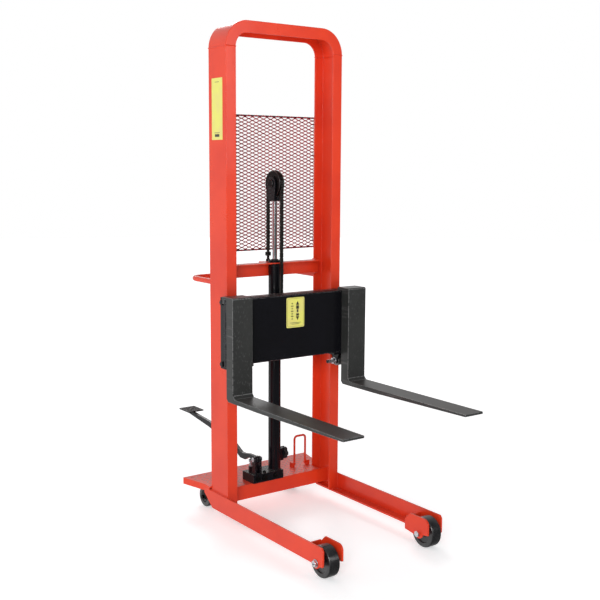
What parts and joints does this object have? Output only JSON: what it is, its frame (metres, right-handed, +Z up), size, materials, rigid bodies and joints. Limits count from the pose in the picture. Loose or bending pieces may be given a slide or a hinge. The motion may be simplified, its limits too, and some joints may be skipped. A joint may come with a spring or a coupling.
{
  "type": "walkie stacker",
  "caption": "Manual walk-behind pallet stacker: channel mast on straddle legs, foot pump and ram with lift chain, roller carriage with sliding forks, mesh guard and casters.",
  "frame": {"origin": "on the floor under the middle of the bounding box", "axes": "+Z up, +Y towards the operator's end (pedal and casters), -Y towards the fork tips, +X to the operator's left when facing the mast from the pedal end"},
  "size_m": [0.57, 1.2582, 1.735],
  "materials": {
    "red_paint": "gloss",
    "black_paint": "gloss",
    "fork_paint": "satin",
    "zinc_steel": "satin",
    "machined_steel": "satin",
    "chain_steel": "oiled",
    "chrome": "polished",
    "yellow_label": "gloss",
    "wheel_nylon": "satin",
    "knob_plastic": "matte"
  },
  "bodies": {
    "frame": {"mast_left": "red_paint", "mast_right": "red_paint", "mast_bow": "red_paint", "leg_left": "red_paint", "leg_right": "red_paint", "deck_plate": "red_paint", "front_beam": "red_paint", "crossbar": "red_paint", "push_handle": "red_paint", "guard_mesh": "black_paint", "guard_rods": "black_paint", "guard_clips": "zinc_steel", "rear_chain_anchor": "zinc_steel", "cylinder_tube": "black_paint", "gland_nut": "black_paint", "pump_block": "black_paint", "pump_barrel": "black_paint", "valve_body": "black_paint", "caster_plates": "zinc_steel", "front_axles": "zinc_steel", "pedal_pin": "zinc_steel", "bail_clips": "red_paint", "mast_label": "yellow_label"},
    "ram": {"ram_rod": "chrome", "crosshead": "black_paint", "sheave_pin": "zinc_steel", "chain_wrap": "chain_steel", "chain_rear": "chain_steel", "chain_front": "chain_steel"},
    "sheave": {"sheave": "machined_steel"},
    "carriage": {"carriage_plate": "black_paint", "carriage_tie": "black_paint", "side_plate_left": "black_paint", "side_plate_right": "black_paint", "roller_brackets": "black_paint", "roller_axles": "zinc_steel", "wear_pads": "wheel_nylon", "front_chain_anchor": "zinc_steel", "guide_brackets": "black_paint", "carriage_label": "yellow_label"},
    "roller_top_left": {"roller_top_left": "machined_steel"},
    "roller_top_right": {"roller_top_right": "machined_steel"},
    "roller_low_left": {"roller_low_left": "machined_steel"},
    "roller_low_right": {"roller_low_right": "machined_steel"},
    "guide_roller_left": {"guide_roller_left": "zinc_steel"},
    "guide_roller_right": {"guide_roller_right": "zinc_steel"},
    "fork_left": {"fork_left": "fork_paint"},
    "fork_right": {"fork_right": "fork_paint"},
    "front_wheel_left": {"front_wheel_left": "wheel_nylon"},
    "front_wheel_right": {"front_wheel_right": "wheel_nylon"},
    "caster_left": {"caster_fork_left": "zinc_steel"},
    "caster_right": {"caster_fork_right": "zinc_steel"},
    "caster_wheel_left": {"caster_wheel_left": "wheel_nylon"},
    "caster_wheel_right": {"caster_wheel_right": "wheel_nylon"},
    "pedal": {"pedal_lever": "black_paint", "pedal_pad": "black_paint"},
    "plunger": {"pump_plunger": "zinc_steel", "return_spring": "zinc_steel"},
    "valve_knob": {"valve_knob": "knob_plastic"},
    "bail": {"bail": "red_paint"}
  },
  "joints": [
    {"name": "lift", "type": "slide", "parent": "frame", "child": "ram", "axis": [0, 0, 1], "range_m": [-0.175, 0.41], "deforming": ["chain_rear"]},
    {"name": "carriage_lift", "type": "slide", "parent": "ram", "child": "carriage", "axis": [0, 0, 1], "range_m": [-0.175, 0.41], "deforming": ["chain_front"]},
    {"name": "sheave_turn", "type": "hinge", "parent": "ram", "child": "sheave", "pos_m": [0, 0.12915, 1.195], "axis": [1, 0, 0], "range_deg": [-560, 240]},
    {"name": "roller_top_left_turn", "type": "hinge", "parent": "carriage", "child": "roller_top_left", "pos_m": [-0.221, 0.11665, 0.7524], "axis": [1, 0, 0], "range_deg": [-410, 960]},
    {"name": "roller_low_left_turn", "type": "hinge", "parent": "carriage", "child": "roller_low_left", "pos_m": [-0.221, 0.11665, 0.642], "axis": [1, 0, 0], "range_deg": [-960, 410]},
    {"name": "guide_roller_left_turn", "type": "hinge", "parent": "carriage", "child": "guide_roller_left", "pos_m": [-0.224, 0.04285, 0.548], "axis": [1, 0, 0], "range_deg": [-2620, 1130]},
    {"name": "fork_left_spread", "type": "slide", "parent": "carriage", "child": "fork_left", "axis": [1, 0, 0], "range_m": [0, 0.13]},
    {"name": "front_wheel_left_roll", "type": "hinge", "parent": "frame", "child": "front_wheel_left", "pos_m": [-0.213, -0.45885, 0.051], "axis": [1, 0, 0], "continuous": true},
    {"name": "caster_left_swivel", "type": "hinge", "parent": "frame", "child": "caster_left", "pos_m": [-0.185, 0.26615, 0.09], "axis": [0, 0, 1], "continuous": true},
    {"name": "caster_wheel_left_roll", "type": "hinge", "parent": "caster_left", "child": "caster_wheel_left", "pos_m": [-0.185, 0.29815, 0.038], "axis": [1, 0, 0], "continuous": true},
    {"name": "roller_top_right_turn", "type": "hinge", "parent": "carriage", "child": "roller_top_right", "pos_m": [0.221, 0.11665, 0.7524], "axis": [1, 0, 0], "range_deg": [-410, 960]},
    {"name": "roller_low_right_turn", "type": "hinge", "parent": "carriage", "child": "roller_low_right", "pos_m": [0.221, 0.11665, 0.642], "axis": [1, 0, 0], "range_deg": [-960, 410]},
    {"name": "guide_roller_right_turn", "type": "hinge", "parent": "carriage", "child": "guide_roller_right", "pos_m": [0.224, 0.04285, 0.548], "axis": [1, 0, 0], "range_deg": [-2620, 1130]},
    {"name": "fork_right_spread", "type": "slide", "parent": "carriage", "child": "fork_right", "axis": [1, 0, 0], "range_m": [-0.13, 0]},
    {"name": "front_wheel_right_roll", "type": "hinge", "parent": "frame", "child": "front_wheel_right", "pos_m": [0.213, -0.45885, 0.051], "axis": [1, 0, 0], "continuous": true},
    {"name": "caster_right_swivel", "type": "hinge", "parent": "frame", "child": "caster_right", "pos_m": [0.185, 0.26615, 0.09], "axis": [0, 0, 1], "continuous": true},
    {"name": "caster_wheel_right_roll", "type": "hinge", "parent": "caster_right", "child": "caster_wheel_right", "pos_m": [0.185, 0.29815, 0.038], "axis": [1, 0, 0], "continuous": true},
    {"name": "pedal_press", "type": "hinge", "parent": "frame", "child": "pedal", "pos_m": [-0.085, 0.11715, 0.206], "axis": [1, 0, 0], "range_deg": [-16, 0], "stiffness_Nm_per_rad": 12, "springref_deg": 34.38},
    {"name": "plunger_stroke", "type": "slide", "parent": "frame", "child": "plunger", "axis": [0, 0, 1], "range_m": [-0.0095, 0], "deforming": ["return_spring"]},
    {"name": "valve_turn", "type": "hinge", "parent": "frame", "child": "valve_knob", "pos_m": [0.0425, 0.12915, 0.208], "axis": [1, 0, 0], "range_deg": [0, 90]},
    {"name": "bail_fold", "type": "hinge", "parent": "frame", "child": "bail", "pos_m": [0.16, 0.19115, 0.13], "axis": [1, 0, 0], "range_deg": [-80, 0]}
  ],
  "couplings": [
    {"joint": "carriage_lift", "follows": "lift", "ratio": 1},
    {"joint": "sheave_turn", "follows": "lift", "rad_per_m": -23.641},
    {"joint": "plunger_stroke", "follows": "pedal_press", "m_per_rad": 0.0295},
    {"joint": "roller_top_left_turn", "follows": "lift", "rad_per_m": 40.65},
    {"joint": "roller_low_left_turn", "follows": "lift", "rad_per_m": -40.65},
    {"joint": "guide_roller_left_turn", "follows": "lift", "rad_per_m": -111.11},
    {"joint": "roller_top_right_turn", "follows": "lift", "rad_per_m": 40.65},
    {"joint": "roller_low_right_turn", "follows": "lift", "rad_per_m": -40.65},
    {"joint": "guide_roller_right_turn", "follows": "lift", "rad_per_m": -111.11}
  ]
}
